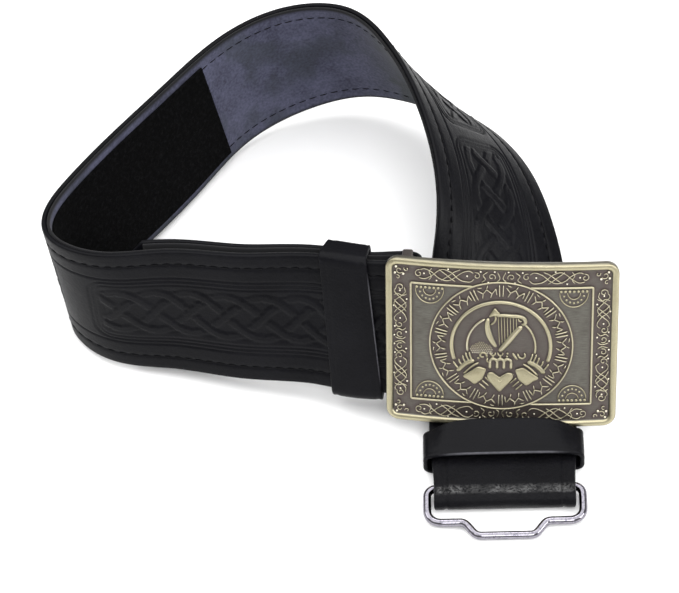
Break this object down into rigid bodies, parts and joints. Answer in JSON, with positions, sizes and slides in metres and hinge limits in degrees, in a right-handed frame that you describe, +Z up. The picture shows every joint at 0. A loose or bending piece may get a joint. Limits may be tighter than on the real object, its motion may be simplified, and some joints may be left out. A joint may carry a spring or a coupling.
{
  "type": "kilt belt",
  "caption": "Wide lined leather belt lying in a loop, with a rectangular knotwork buckle plate, leather keepers and a wire bail in its end.",
  "frame": {"origin": "on the surface the belt lies on, under the middle of its outline seen from above", "axes": "+X to the right along the buckle plate, +Y away from the strap's lying end, +Z up from the surface"},
  "size_m": [0.22, 0.233, 0.0744],
  "materials": {
    "black_leather": "embossed and waxed, semi-gloss",
    "grey_lining": "matt suede-like lining, slate grey",
    "black_pile": "matt black loop pile",
    "chromed_wire": "polished",
    "antique_brass": "antique plated casting, raised work polished and ground darkened"
  },
  "bodies": {
    "belt": {"strap_leather": "black_leather", "strap_lining": "grey_lining", "touch_patch_near": "black_pile", "touch_patch_tail": "black_pile", "keeper_end": "black_leather", "keeper_near": "black_leather", "buckle": "antique_brass"},
    "bail": {"wire_bail": "chromed_wire"}
  },
  "joints": [
    {"name": "bail_swing", "type": "hinge", "parent": "belt", "child": "bail", "pos_m": [0.06131, -0.09365, 0.0039], "axis": [-0.9976, 0.0698, 0], "range_deg": [0, 120]}
  ]
}
